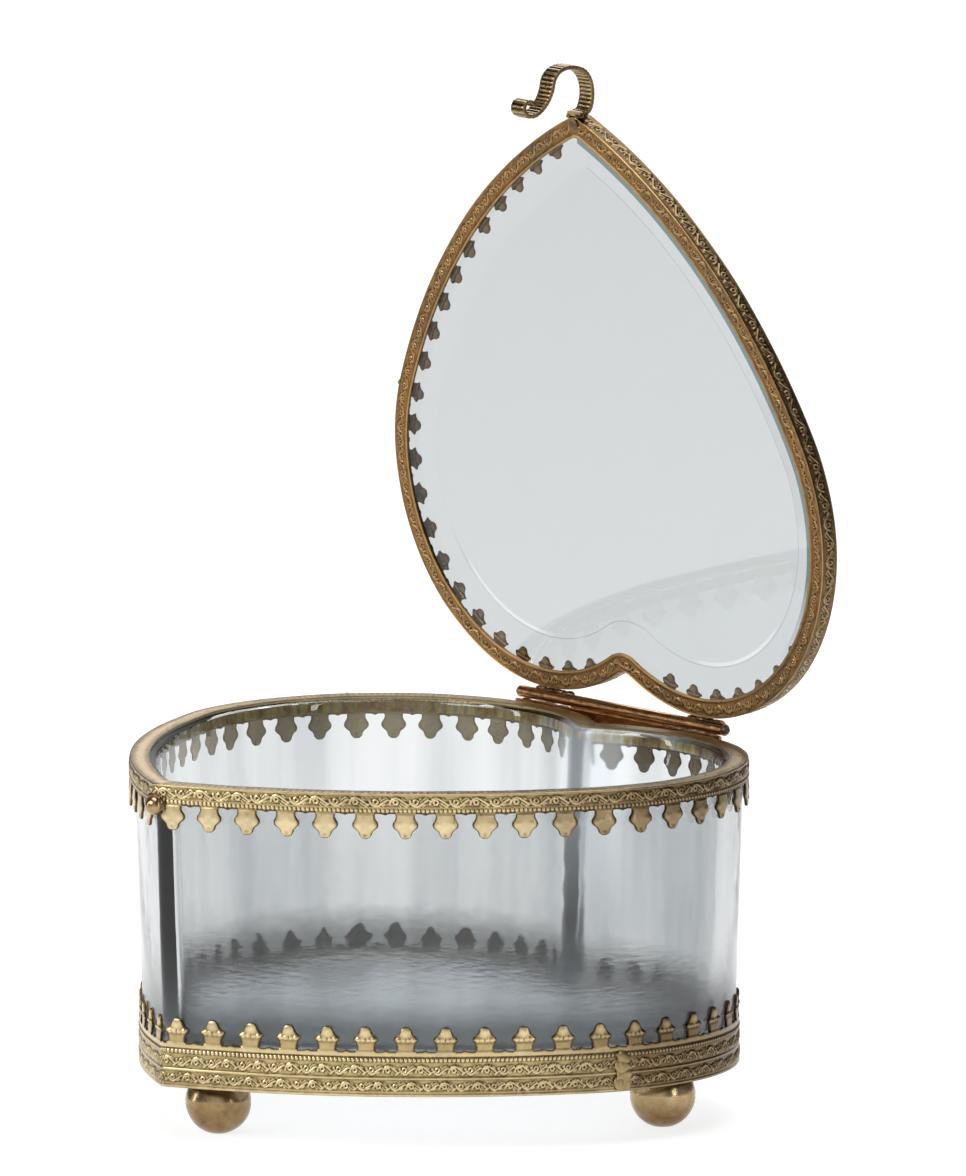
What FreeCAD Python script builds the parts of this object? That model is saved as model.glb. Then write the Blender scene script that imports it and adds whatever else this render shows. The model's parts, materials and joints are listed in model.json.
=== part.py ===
import FreeCAD, Part
import math
import os

# A heart-shaped trinket box: a moulded glass bowl between two stamped brass
# strips, on three ball feet, with a bevelled glass lid in a brass channel that
# is shown open. Millimetres, +Z up. The heart's axis lies along Y, its tip
# points to -Y, and the hinge is behind the two lobes at +Y. The floor is z = 0.

V = FreeCAD.Vector

# ---- heart outline: the outer face of the rim band ----
LOBE_X = 19.1            # centre of each lobe, either side of the axis
LOBE_R = 35.5
SHARP_TIP = 64.8         # where the two long sides would meet
SIDE_R = 100.0           # radius of the long sides
TIP_R = 3.4              # rounding of the tip
CLEFT_R = 2.4            # rounding of the cleft between the lobes
Y_SHIFT = 13.25          # puts the open box's middle at y = 0

# ---- heights above the floor ----
BASE_BOTTOM = 8.9
RING_BOTTOM = 10.3
GLASS_BOTTOM = 11.0
FLOOR_TOP = 15.0         # inside of the bowl
RIM_TOP = 59.3
LID_GAP = 0.3            # between the closed lid and the rim

# ---- stamped strips ----
BRASS = 0.5
TAB_COUNT = 50
TAB_LENGTH = 4.1         # from the strip's scalloped edge to a tab's end
RIM_FLANGE = 3.4
RIM_STRIP = 3.5          # height of the rim band without its tabs
BASE_STRIP = 7.4
BASE_INSET = 1.5         # the base band lies this far inside the rim's outline

# ---- glass ----
GLASS_GAP = 0.9          # outline of the bowl at its mouth, inside the rim's
GLASS_DRAFT = 1.5        # how much narrower the bowl is at its foot
WALL = 3.6

# ---- ring and feet ----
RING_T = 0.7
RING_WIDTH = 7.0
FOOT_R = 5.4
FOOT_FLAT_R = 1.7
LUG_R = 6.0
FEET = {"foot_tip": (0.0, -51.0), "foot_left": (-42.0, 8.5), "foot_right": (42.0, 8.5)}

# ---- lid, described closed and then swung open ----
LID_INSET = 0.3
LID_EDGE = 3.5           # height of the channel's outer wall
LID_SHEET = 0.4
LID_FLANGE = 3.5         # the channel's lower flange
LID_TOP_FLANGE = 1.8     # its upper flange, before the tabs
BEVEL_WIDTH = 8.6
BEVEL_SLOPE = 0.093      # rise of the bevel for each millimetre inwards
OPEN_DEG = 83.4

# ---- hinge ----
HINGE_Y = 36.7
HINGE_Z = 60.25
TUBE_R = 1.0
PIN_R = 0.5
PIN_GAP = 0.03
HINGE_HALF = 26.0
HINGE_X = -1.5           # the hinge is soldered on a little left of the middle
KNUCKLE_HALF = 12.5      # half of the middle knuckle
KNUCKLE_GAP = 0.15
LEAF_T = 0.5

# ---- clasp and catch ----
CATCH_R = 1.6
CATCH_REACH = 1.45       # how far the bead stands out from the rim
CATCH_DROP = 3.8         # its centre below the rim's top
RIBBON_W = 3.4
RIBBON_T = 0.8
FLEX_AXIS = (0.45, -1.9)  # the clasp bends about this place: forward of the tip, down
FLEX_DEG = 15

LID_BOTTOM = RIM_TOP + LID_GAP
LID_TOP = LID_BOTTOM + LID_EDGE


# ---------------------------------------------------------------- outline
def heart_arcs(offset=0.0, tip_r=None):
    """Half of the outline, tip to cleft on +X: (centre x, y, radius, start, end)."""
    tip_r = max(TIP_R + offset, 0.8) if tip_r is None else tip_r
    lobe, side, cleft = LOBE_R + offset, SIDE_R + offset, CLEFT_R - offset
    # The side's centre is SIDE_R from the sharp tip and touches the lobe's circle.
    reach = SIDE_R - LOBE_R
    span = math.hypot(LOBE_X, SHARP_TIP)
    along = (reach ** 2 - SIDE_R ** 2 + span ** 2) / (2 * span)
    across = math.sqrt(reach ** 2 - along ** 2)
    ux, uy = -LOBE_X / span, -SHARP_TIP / span
    sx, sy = LOBE_X + along * ux + across * uy, along * uy - across * ux
    tip_y = sy - math.sqrt((side - tip_r) ** 2 - sx ** 2)
    cleft_y = math.sqrt((lobe + cleft) ** 2 - LOBE_X ** 2)
    at_tip = math.atan2(tip_y - sy, -sx)
    at_lobe = math.atan2(-sy, LOBE_X - sx)
    at_cleft = math.atan2(cleft_y, -LOBE_X)
    return [
        (0.0, tip_y, tip_r, -math.pi / 2, at_tip),
        (sx, sy, side, at_tip, at_lobe),
        (LOBE_X, 0.0, lobe, at_lobe, at_cleft),
        (0.0, cleft_y, cleft, at_cleft - math.pi, -math.pi / 2),
    ]


def on_arc(arc, share):
    """The point at this share of an arc, in plan."""
    x, y, r, start, end = arc
    a = start + (end - start) * share
    return x + r * math.cos(a), y + r * math.sin(a)


def heart_wire(offset, z, tip_r=None):
    arcs = heart_arcs(offset, tip_r)
    edges = []
    for side in (1, -1):
        for arc in arcs if side == 1 else reversed(arcs):
            shares = (0, 0.5, 1) if side == 1 else (1, 0.5, 0)
            points = [on_arc(arc, share) for share in shares]
            corners = [V(side * x, y, z) for x, y in points]
            edges.append(Part.Arc(*corners).toShape())
    return Part.Wire(edges)


def heart_prism(offset, z_low, z_high, tip_r=None):
    face = Part.Face(heart_wire(offset, z_low, tip_r))
    return face.extrude(V(0, 0, z_high - z_low))


def heart_loft(levels, tip_r=None):
    """A solid through (offset, z) levels, with straight walls between them."""
    wires = [heart_wire(offset, z, tip_r) for offset, z in levels]
    return Part.makeLoft(wires, True, True)


def tip_edge(offset=0.0):
    """How far forward the rounded tip reaches."""
    x, y, r, start, end = heart_arcs(offset)[0]
    return y - r


def stations(count):
    """Evenly spaced places on the outline, from the tip: point and outward direction."""
    arcs = heart_arcs()
    lengths = [abs(end - start) * r for x, y, r, start, end in arcs]
    pitch = 2 * sum(lengths) / count
    places = []
    for i in range(count):
        side = 1 if i <= count // 2 else -1
        s = min(i, count - i) * pitch
        k = 0
        while k < 3 and s > lengths[k]:
            s -= lengths[k]
            k += 1
        x, y, r, start, end = arcs[k]
        px, py = on_arc(arcs[k], s / lengths[k])
        turn = -1 if k == 3 else 1
        places.append((V(side * px, py, 0), V(side * turn * (px - x) / r, turn * (py - y) / r, 0)))
    return places, pitch


# ---------------------------------------------------------------- stamped tabs
def gap_face(pitch, place, outward, up, cusp):
    """The opening between two trefoil tabs: a face in the plane of outward's tangent.

    up points from the strip's scalloped edge towards the tabs' ends, and cusp is
    the height of the small point in the edge between them."""
    along = V(-outward.y, outward.x, 0)
    half = pitch / 2
    # (distance from the gap's middle, height above the scalloped edge)
    half_shape = [
        ((0, cusp), (0.8, 0.05), (1.5, 0.25)),
        ((1.5, 0.25), (half - 1.55, 0.75), (half - 1.95, 1.6)),
        ((half - 1.95, 1.6), (half - 2.1, 2.15), (half - 1.7, 2.65)),
        ((half - 1.7, 2.65), (half - 1.2, 2.95), (half - 1.0, 3.35)),
        ((half - 1.0, 3.35), (half - 0.8, 3.8), (half - 0.35, TAB_LENGTH)),
    ]

    def at(point, side):
        return place + along * (side * point[0]) + up * point[1]

    right = [Part.Arc(*[at(p, 1) for p in arc]).toShape() for arc in half_shape]
    left = [Part.Arc(*[at(p, -1) for p in reversed(arc)]).toShape() for arc in reversed(half_shape)]
    end, beyond = (half - 0.35, TAB_LENGTH), (half - 0.35, TAB_LENGTH + 2)
    close = [
        Part.LineSegment(at(end, 1), at(beyond, 1)).toShape(),
        Part.LineSegment(at(beyond, 1), at(beyond, -1)).toShape(),
        Part.LineSegment(at(beyond, -1), at(end, -1)).toShape(),
    ]
    return Part.Face(Part.Wire(right + close + left))


def wall_gaps(z_edge, up_sign, inset, cusp):
    """Cutters for the gaps between the tabs of an upright strip, none in the cleft."""
    places, pitch = stations(TAB_COUNT)
    cutters = []
    for i, (place, outward) in enumerate(places):
        if i == TAB_COUNT // 2:
            continue
        start = place + outward * 1.2 + V(0, 0, z_edge)
        face = gap_face(pitch, start, outward, V(0, 0, up_sign), cusp)
        cutters.append(face.extrude(outward * -(1.2 + inset + 2.2)))
    return cutters


def flat_gaps(z_low, z_high, edge):
    """Cutters for the gaps between the lid's tabs, which lie flat and point inwards."""
    places, pitch = stations(TAB_COUNT)
    cutters = []
    for place, outward in places:
        start = place - outward * (LID_INSET + edge) + V(0, 0, z_low)
        face = gap_face(pitch, start, outward, outward * -1, 0.2)
        cutters.append(face.extrude(V(0, 0, z_high - z_low)))
    return cutters


# ---------------------------------------------------------------- the box
def bowl_outside():
    foot = -GLASS_GAP - GLASS_DRAFT
    return heart_loft([(foot, GLASS_BOTTOM), (-GLASS_GAP, RIM_TOP - BRASS)])


def glass_bowl():
    """The moulded bowl: drafted walls, a thick floor and a rounded inner corner."""
    mouth = -GLASS_GAP - WALL
    foot = mouth - GLASS_DRAFT
    inside = heart_loft([
        (foot - 3.0, FLOOR_TOP),
        (foot - 1.5, FLOOR_TOP + 0.4),
        (foot - 0.5, FLOOR_TOP + 1.4),
        (foot, FLOOR_TOP + 3.0),
        (mouth, RIM_TOP - BRASS),
    ], tip_r=2.5)
    return bowl_outside().cut(inside)


def rim_band():
    """An L strip: a flat top flange and an upright wall with hanging tabs."""
    low = RIM_TOP - RIM_STRIP - TAB_LENGTH
    block = heart_prism(0, low, RIM_TOP)
    pocket = heart_prism(-BRASS, low - 1, RIM_TOP - BRASS)
    mouth = heart_prism(-RIM_FLANGE, RIM_TOP - BRASS - 1, RIM_TOP + 1)
    return block.cut([pocket, mouth] + wall_gaps(RIM_TOP - RIM_STRIP, -1, 0, 0.15))


def rim_cement():
    """The cement that fills between the rim band and the glass."""
    ring = heart_prism(-BRASS, RIM_TOP - RIM_STRIP + 0.4, RIM_TOP - BRASS)
    return ring.cut(bowl_outside())


def base_band():
    """A wide upright strip round the bowl's foot, with upright tabs."""
    high = BASE_BOTTOM + BASE_STRIP + TAB_LENGTH
    block = heart_prism(-BASE_INSET, BASE_BOTTOM, high)
    inside = heart_prism(-BASE_INSET - BRASS, BASE_BOTTOM - 1, high + 1)
    return block.cut([inside] + wall_gaps(BASE_BOTTOM + BASE_STRIP, 1, BASE_INSET, 0.15))


def base_cement():
    """The cement between the base band and the glass."""
    ring = heart_prism(-BASE_INSET - BRASS, GLASS_BOTTOM + 0.3, BASE_BOTTOM + BASE_STRIP - 0.5)
    return ring.cut(bowl_outside())


def base_ring():
    """A flat ring under the glass with a round lug over each foot."""
    outer = -BASE_INSET - BRASS
    ring = heart_prism(outer, RING_BOTTOM, RING_BOTTOM + RING_T)
    hole = heart_prism(outer - RING_WIDTH, RING_BOTTOM - 1, RING_BOTTOM + 2, tip_r=2.5)
    lugs = [Part.makeCylinder(LUG_R, RING_T, V(x, y, RING_BOTTOM)) for x, y in FEET.values()]
    inside = heart_prism(outer, RING_BOTTOM, RING_BOTTOM + RING_T)
    return ring.cut(hole).fuse([lug.common(inside) for lug in lugs]).removeSplitter()


def foot_centre(place):
    rise = math.sqrt(FOOT_R ** 2 - FOOT_FLAT_R ** 2)
    return V(place[0], place[1], rise)


def foot(place):
    """A ball with a small flat worn underneath and a flat seat on top."""
    ball = Part.makeSphere(FOOT_R, foot_centre(place))
    slab = Part.makeBox(20, 20, RING_BOTTOM, V(place[0] - 10, place[1] - 10, 0))
    return ball.common(slab)


def foot_solder():
    """A collar of solder between each ball and the ring."""
    collars = []
    for place in FEET.values():
        low = RING_BOTTOM - 1.0
        cone = Part.makeCone(3.6, 4.4, 1.0, V(place[0], place[1], low))
        collars.append(cone.cut(Part.makeSphere(FOOT_R, foot_centre(place))))
    return Part.makeCompound(collars)


def seam(share_place, z_low, z_high, inset, width, thickness):
    """A patch of solder over the lap where a strip's two ends meet."""
    place, outward = share_place
    along = V(-outward.y, outward.x, 0)
    corner = place - along * (width / 2) - outward * 4 + V(0, 0, z_low)
    points = [corner, corner + along * width, corner + along * width + outward * 8,
              corner + outward * 8, corner]
    block = Part.Face(Part.makePolygon(points)).extrude(V(0, 0, z_high - z_low))
    shell = heart_prism(thickness - inset, z_low, z_high).cut(heart_prism(-inset, z_low, z_high))
    return block.common(shell)


def catch_centre():
    return V(0, tip_edge() - CATCH_REACH + CATCH_R, RIM_TOP - CATCH_DROP)


def catch_bead():
    """The round bead that the clasp snaps under, seated on the rim's tip."""
    ball = Part.makeSphere(CATCH_R, catch_centre())
    return ball.cut(heart_prism(0, RIM_TOP - 10, RIM_TOP + 1))


def catch_solder():
    """A thin collar of solder round the bead's root, on the strip only."""
    centre = catch_centre()
    disc = Part.makeCylinder(CATCH_R + 0.5, 6, centre - V(0, 3, 0), V(0, 1, 0))
    low = RIM_TOP - RIM_STRIP + 0.2
    shell = heart_prism(0.3, low, RIM_TOP - 0.4).cut(heart_prism(0, low, RIM_TOP))
    return shell.common(disc).cut(Part.makeSphere(CATCH_R, centre))


# ---------------------------------------------------------------- the hinge
def tube(x_low, x_high, outer, bore):
    base = V(x_low, HINGE_Y, HINGE_Z)
    solid = Part.makeCylinder(outer, x_high - x_low, base, V(1, 0, 0))
    return solid.cut(Part.makeCylinder(bore, x_high - x_low, base, V(1, 0, 0)))


def hinge_leaf():
    """The strip soldered across the backs of both lobes, over the cleft."""
    return Part.makeBox(2 * HINGE_HALF, LEAF_T, 3.0, V(HINGE_X - HINGE_HALF, LOBE_R, RIM_TOP - 3.1))


def leaf_solder():
    """Solder drawn into the crevices between the leaf and each lobe."""
    low, high = RIM_TOP - 2.9, RIM_TOP - 0.3
    wedges = []
    for side in (-1, 1):
        for near in (-4.6, 1.6):
            x = side * LOBE_X + near
            wedges.append(Part.makeBox(3.0, 1.0, high - low, V(x, LOBE_R - 1.0, low)))
    return Part.makeCompound([w.cut(heart_prism(0, low, high)) for w in wedges])


def hinge_knuckle_box():
    """The middle knuckle, rolled from a tail that lies on the leaf."""
    tail_y = LOBE_R + LEAF_T
    left = HINGE_X - KNUCKLE_HALF
    start = V(left, HINGE_Y, HINGE_Z)
    roll = Part.makeCylinder(TUBE_R, 2 * KNUCKLE_HALF, start, V(1, 0, 0))
    tail = Part.makeBox(2 * KNUCKLE_HALF, 0.45, HINGE_Z - RIM_TOP + 2.6, V(left, tail_y, RIM_TOP - 2.6))
    bore = Part.makeCylinder(PIN_R + PIN_GAP, 2 * KNUCKLE_HALF, start, V(1, 0, 0))
    return roll.fuse(tail).cut(bore).removeSplitter()


def hinge_pin():
    """The wire pin, its ends peened over outside the knuckles."""
    reach = HINGE_HALF + 0.08
    pin = Part.makeCylinder(PIN_R, 2 * reach, V(HINGE_X - reach, HINGE_Y, HINGE_Z), V(1, 0, 0))
    heads = [Part.makeCone(0.85, 0.6, 0.5, V(HINGE_X + side * reach, HINGE_Y, HINGE_Z), V(side, 0, 0))
             for side in (-1, 1)]
    return pin.fuse(heads)


# ---------------------------------------------------------------- the lid, closed
def bevel_z(inward, top):
    """Height of the bevel, or of the sheet over it, this far inside the lid's edge."""
    return top + BEVEL_SLOPE * inward


def pane():
    """The lid's glass: a heart with a flat underside and a bevelled top."""
    edge = LID_SHEET + 0.1
    glass_top = LID_TOP - LID_SHEET
    low = LID_BOTTOM + LID_SHEET
    bevel = heart_loft([
        (-LID_INSET - edge, bevel_z(edge, glass_top)),
        (-LID_INSET - BEVEL_WIDTH, bevel_z(BEVEL_WIDTH, glass_top)),
    ], tip_r=1.2)
    slab = heart_prism(-LID_INSET - edge, low, bevel_z(edge, glass_top), tip_r=1.2)
    return slab.fuse(bevel).removeSplitter()


def lid_frame():
    """The channel round the pane: lower flange, edge wall, and tabs folded over."""
    reach = LID_TOP_FLANGE + TAB_LENGTH
    block = heart_prism(-LID_INSET, LID_BOTTOM, LID_TOP, tip_r=TIP_R)
    cover = heart_loft([
        (-LID_INSET, LID_TOP),
        (-LID_INSET - reach, bevel_z(reach, LID_TOP)),
    ], tip_r=TIP_R)
    window = heart_prism(-LID_INSET - LID_FLANGE, LID_BOTTOM - 1, LID_BOTTOM + 2, tip_r=3.0)
    top_window = heart_prism(-LID_INSET - reach, LID_BOTTOM + 2, LID_TOP + 3, tip_r=TIP_R)
    # The tip and the cleft keep only the plain flange: no tab fits in either.
    flange = heart_prism(-LID_INSET - LID_TOP_FLANGE, LID_BOTTOM + 2, LID_TOP + 3, tip_r=1.0)
    near_tip = Part.makeBox(9.8, 14, 10, V(-4.9, tip_edge(), LID_BOTTOM))
    near_cleft = Part.makeBox(14.8, 30, 10, V(-7.4, 10, LID_BOTTOM))
    bare = flange.common(near_tip.fuse(near_cleft))
    cutters = flat_gaps(LID_BOTTOM + 2, LID_TOP + 3, LID_TOP_FLANGE)
    return block.fuse(cover).cut(pane()).cut([window, top_window, bare]).cut(cutters).removeSplitter()


def lid_knuckle(side):
    """One of the two outer knuckles, which turn with the lid."""
    near, far = KNUCKLE_HALF + KNUCKLE_GAP, HINGE_HALF
    low, high = (near, far) if side == 1 else (-far, -near)
    return tube(HINGE_X + low, HINGE_X + high, TUBE_R, PIN_R + PIN_GAP)


def lid_hinge_solder():
    """Solder between each outer knuckle and the back of the lid's edge."""
    lumps = []
    for side in (-1, 1):
        start = V(side * LOBE_X - 5.0, LOBE_R - 1.6, LID_BOTTOM + 0.2)
        lump = Part.makeBox(10.0, HINGE_Y - start.y, 1.5, start)
        core = Part.makeCylinder(TUBE_R, 12, V(start.x - 1, HINGE_Y, HINGE_Z), V(1, 0, 0))
        lumps.append(lump.cut([core, heart_prism(-LID_INSET, LID_BOTTOM - 1, LID_TOP, tip_r=TIP_R)]))
    return Part.makeCompound(lumps)


# ---------------------------------------------------------------- the clasp, closed
def clasp_point(forward, down):
    """A point on the axis plane: forward of the lid's tip, below the lid's underside."""
    return V(0, tip_edge(-LID_INSET) - forward, LID_BOTTOM - down)


def clasp_hook():
    """One reeded ribbon bent into an S: root on the lid's tip, bow, and curled end."""
    # (forward, down) places along the middle of the ribbon's thickness
    path = [
        (0.45, -0.4), (0.45, -1.7), (1.0, -2.8), (3.2, -3.6), (5.7, -3.4), (7.6, -2.1), (8.6, 0.4),
        (8.5, 2.6), (7.4, 4.1), (5.5, 4.9), (4.0, 5.9), (2.8, 7.4), (2.25, 9.0),
        (2.55, 10.4), (3.5, 11.1), (4.55, 10.7), (4.75, 9.6), (4.1, 8.9),
    ]
    points = [clasp_point(f, d) for f, d in path]
    spine = Part.BSplineCurve()
    spine.interpolate(points)
    inner, outer = [], []
    steps = 64
    first, last = spine.FirstParameter, spine.LastParameter
    for i in range(steps + 1):
        u = first + (last - first) * i / steps
        p, t = spine.value(u), spine.tangent(u)[0]
        n = V(0, -t.z, t.y)
        inner.append(p + n * (RIBBON_T / 2))
        outer.append(p - n * (RIBBON_T / 2))
    sides = []
    for row in (inner, outer):
        curve = Part.BSplineCurve()
        curve.interpolate(row)
        sides.append(curve.toShape())
    caps = [Part.LineSegment(inner[k], outer[k]).toShape() for k in (0, -1)]
    wire = Part.Wire(Part.__sortEdges__([sides[0], caps[1], sides[1], caps[0]]))
    face = Part.Face(wire)
    face.translate(V(-RIBBON_W / 2, 0, 0))
    return face.extrude(V(RIBBON_W, 0, 0))


def clasp_solder():
    """The lump of solder at the clasp's root, hollowed where the ribbon bends past it."""
    root = clasp_point(0.0, -1.0)
    lump = Part.makeSphere(1.5, root)
    block = heart_prism(-LID_INSET, LID_BOTTOM - 3, LID_TOP + 3, tip_r=TIP_R)
    above = Part.makeBox(6, 6, 3, V(-3, root.y - 3, LID_BOTTOM + 0.1))
    solder = lump.cut(block).common(above)
    ribbon = clasp_hook()
    for degrees in range(0, FLEX_DEG + 1, 3):
        bent = ribbon.copy()
        bent.rotate(clasp_point(*FLEX_AXIS), V(-1, 0, 0), degrees)
        solder = solder.cut(bent)
    return solder


# ---------------------------------------------------------------- building
def place_near(angle_deg):
    """The station whose outward direction is nearest this plan angle."""
    places = stations(400)[0]
    aim = V(math.cos(math.radians(angle_deg)), math.sin(math.radians(angle_deg)), 0)
    return max(places, key=lambda place: place[1].dot(aim))


def box_parts():
    base_high = BASE_BOTTOM + BASE_STRIP
    parts = {
        "glass_bowl": glass_bowl(),
        "rim_band": rim_band(),
        "rim_cement": rim_cement(),
        "base_band": base_band(),
        "base_cement": base_cement(),
        "base_ring": base_ring(),
        "foot_solder": foot_solder(),
        "rim_seam_solder": seam(place_near(150), RIM_TOP - RIM_STRIP + 0.2, RIM_TOP - 0.2, 0, 2.0, 0.25),
        "base_seam_solder": seam(place_near(-14.5), BASE_BOTTOM + 0.2, base_high - 0.3,
                                 BASE_INSET, 1.4, 0.25),
        "catch_bead": catch_bead(),
        "catch_solder": catch_solder(),
        "hinge_leaf": hinge_leaf(),
        "leaf_solder": leaf_solder(),
        "hinge_knuckle_box": hinge_knuckle_box(),
        "hinge_pin": hinge_pin(),
    }
    for name, place in FEET.items():
        parts[name] = foot(place)
    return parts


def lid_parts():
    return {
        "lid_glass": pane(),
        "lid_frame": lid_frame(),
        "lid_knuckle_left": lid_knuckle(-1),
        "lid_knuckle_right": lid_knuckle(1),
        "lid_hinge_solder": lid_hinge_solder(),
        "lid_seam_solder": seam(place_near(202), LID_BOTTOM + 0.3, LID_TOP - 0.3, LID_INSET, 2.4, 0.25),
        "clasp_solder": clasp_solder(),
        "clasp_hook": clasp_hook(),
    }


def main():
    os.makedirs("parts", exist_ok=True)
    parts = box_parts()
    for name, shape in lid_parts().items():
        shape.rotate(V(0, HINGE_Y, HINGE_Z), V(1, 0, 0), -OPEN_DEG)
        parts[name] = shape
    for name, shape in parts.items():
        shape.translate(V(0, Y_SHIFT, 0))
        shape.exportStep(f"parts/{name}.step")
        valid = shape.isValid() and all(solid.isClosed() for solid in shape.Solids)
        print(f"{name}: {len(shape.Solids)} solid(s), {shape.Volume:.1f} mm3, valid {valid}")
    whole = Part.makeCompound(list(parts.values())).BoundBox
    print(f"X {whole.XMin:.2f} {whole.XMax:.2f}")
    print(f"Y {whole.YMin:.2f} {whole.YMax:.2f}")
    print(f"Z {whole.ZMin:.2f} {whole.ZMax:.2f}")


main()
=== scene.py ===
import json
import math

import bmesh
import bpy
import numpy as np
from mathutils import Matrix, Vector


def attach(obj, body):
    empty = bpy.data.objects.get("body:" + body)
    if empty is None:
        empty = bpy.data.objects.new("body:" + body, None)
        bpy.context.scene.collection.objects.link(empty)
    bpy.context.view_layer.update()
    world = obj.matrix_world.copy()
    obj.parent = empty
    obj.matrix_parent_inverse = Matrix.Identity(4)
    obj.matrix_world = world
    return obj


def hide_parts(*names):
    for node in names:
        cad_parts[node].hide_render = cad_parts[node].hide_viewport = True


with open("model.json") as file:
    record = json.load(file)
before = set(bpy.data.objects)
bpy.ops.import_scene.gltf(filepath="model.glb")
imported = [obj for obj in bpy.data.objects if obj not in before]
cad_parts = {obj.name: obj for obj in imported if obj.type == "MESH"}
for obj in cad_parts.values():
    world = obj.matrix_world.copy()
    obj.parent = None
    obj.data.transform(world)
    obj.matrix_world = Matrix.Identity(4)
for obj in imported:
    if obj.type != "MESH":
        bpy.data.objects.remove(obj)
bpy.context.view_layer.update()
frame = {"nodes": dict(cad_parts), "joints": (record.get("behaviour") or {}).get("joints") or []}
rng = np.random.default_rng(11)

# Sizes are in millimetres, in the heart's own frame: tip at -Y, lobe centres on y = 0.
# mm_to_row() turns them into the row's metres.
LOBE_X, LOBE_R = 19.1, 35.5
SHARP_TIP, SIDE_R, TIP_R, CLEFT_R = 64.8, 100.0, 3.4, 2.4
HINGE_X, HINGE_Y = -1.5, 36.7
RIM_TOP, RIM_STRIP, RIM_FLANGE = 59.3, 3.5, 3.4
BASE_BOTTOM, BASE_STRIP, BASE_INSET = 8.9, 7.4, 1.5
LID_BOTTOM, LID_EDGE, LID_INSET = 59.6, 3.5, 0.3
LID_LIP = 3.3            # reach of the lid channel's lower flange
LID_TOP_FLANGE = 1.7     # reach of its upper flange, before the tabs
TABS, TAB_LENGTH = 50, 4.1
COLUMNS = 36             # mesh columns in one repeat of a strip
SHEET = 0.4
RELIEF = 0.2             # the stamping's height; its peaks lie on the CAD's faces
FOOT_R, FOOT_FLAT_R, FOOT_TOP = 5.4, 1.7, 10.3   # a ball with a worn flat under it, cut at its top
FEET = {"foot_tip": (0, -51), "foot_left": (-42, 8.5), "foot_right": (42, 8.5)}

hinge = next(j for j in frame["joints"] if j["name"] == "lid_hinge")
SHIFT_Y = hinge["pos_m"][1] * 1000 - HINGE_Y
HINGE_Z = hinge["pos_m"][2] * 1000
OPEN = math.radians(-hinge["range_deg"][0])


# ------------------------------------------------------------------ outline
def half_arcs():
    """Tip to cleft on +X: (centre x, centre y, radius, start angle, end angle)."""
    reach = SIDE_R - LOBE_R
    span = math.hypot(LOBE_X, SHARP_TIP)
    along = (reach ** 2 - SIDE_R ** 2 + span ** 2) / (2 * span)
    across = math.sqrt(reach ** 2 - along ** 2)
    ux, uy = -LOBE_X / span, -SHARP_TIP / span
    sx, sy = LOBE_X + along * ux + across * uy, along * uy - across * ux
    tip_y = sy - math.sqrt((SIDE_R - TIP_R) ** 2 - sx ** 2)
    cleft_y = math.sqrt((LOBE_R + CLEFT_R) ** 2 - LOBE_X ** 2)
    at_tip = math.atan2(tip_y - sy, -sx)
    at_lobe = math.atan2(-sy, LOBE_X - sx)
    at_cleft = math.atan2(cleft_y, -LOBE_X)
    return [
        (0.0, tip_y, TIP_R, -math.pi / 2, at_tip),
        (sx, sy, SIDE_R, at_tip, at_lobe),
        (LOBE_X, 0.0, LOBE_R, at_lobe, at_cleft),
        (0.0, cleft_y, CLEFT_R, at_cleft - math.pi, -math.pi / 2),
    ]


ARCS = half_arcs()
ARC_LENGTHS = [abs(a[4] - a[3]) * a[2] for a in ARCS]
HALF_LENGTH = sum(ARC_LENGTHS)
PITCH = 2 * HALF_LENGTH / TABS
TIP_EDGE = ARCS[0][1] - TIP_R


def outline(u):
    """Points and outward directions at distances u round the outline, from the tip."""
    u = np.mod(np.asarray(u, float), 2 * HALF_LENGTH)
    side = np.where(u <= HALF_LENGTH, 1.0, -1.0)
    s = np.where(u <= HALF_LENGTH, u, 2 * HALF_LENGTH - u)
    px, py, nx, ny = (np.zeros_like(s) for _ in range(4))
    start = 0.0
    for k, (cx, cy, r, a0, a1) in enumerate(ARCS):
        here = (s >= start - 1e-9) & (s <= start + ARC_LENGTHS[k] + 1e-9)
        a = a0 + (a1 - a0) * (s - start) / ARC_LENGTHS[k]
        turn = -1.0 if k == 3 else 1.0   # the cleft curves the other way
        px = np.where(here, cx + r * np.cos(a), px)
        py = np.where(here, cy + r * np.sin(a), py)
        nx = np.where(here, turn * np.cos(a), nx)
        ny = np.where(here, turn * np.sin(a), ny)
        start += ARC_LENGTHS[k]
    return side * px, py, side * nx, ny


def place(u, d, z, fillet=1.0):
    """Positions at distance u round the outline, d outside it, at height z.

    Inside the tip the offset lines would meet in a point, so they keep a fillet."""
    u, d, z = np.broadcast_arrays(np.asarray(u, float), np.asarray(d, float), np.asarray(z, float))
    px, py, nx, ny = outline(u)
    u = np.mod(u, 2 * HALF_LENGTH)
    side = np.where(u <= HALF_LENGTH, 1.0, -1.0)
    s = np.minimum(u, 2 * HALF_LENGTH - u)
    side_x, side_y = ARCS[1][:2]
    tip_r = np.maximum(TIP_R, fillet - d)
    tip_y = side_y - np.sqrt((SIDE_R - tip_r) ** 2 - side_x ** 2)
    turn = np.arctan2(tip_y - side_y, -side_x)
    reach = ARC_LENGTHS[0] + SIDE_R * (turn - ARCS[1][3])
    angle = -math.pi / 2 + (turn + math.pi / 2) * s / reach
    at_tip = s < reach
    x = np.where(at_tip, side * (tip_r + d) * np.cos(angle), px + nx * d)
    y = np.where(at_tip, tip_y + (tip_r + d) * np.sin(angle), py + ny * d)
    return np.stack([x, y, z], axis=-1)


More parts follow.
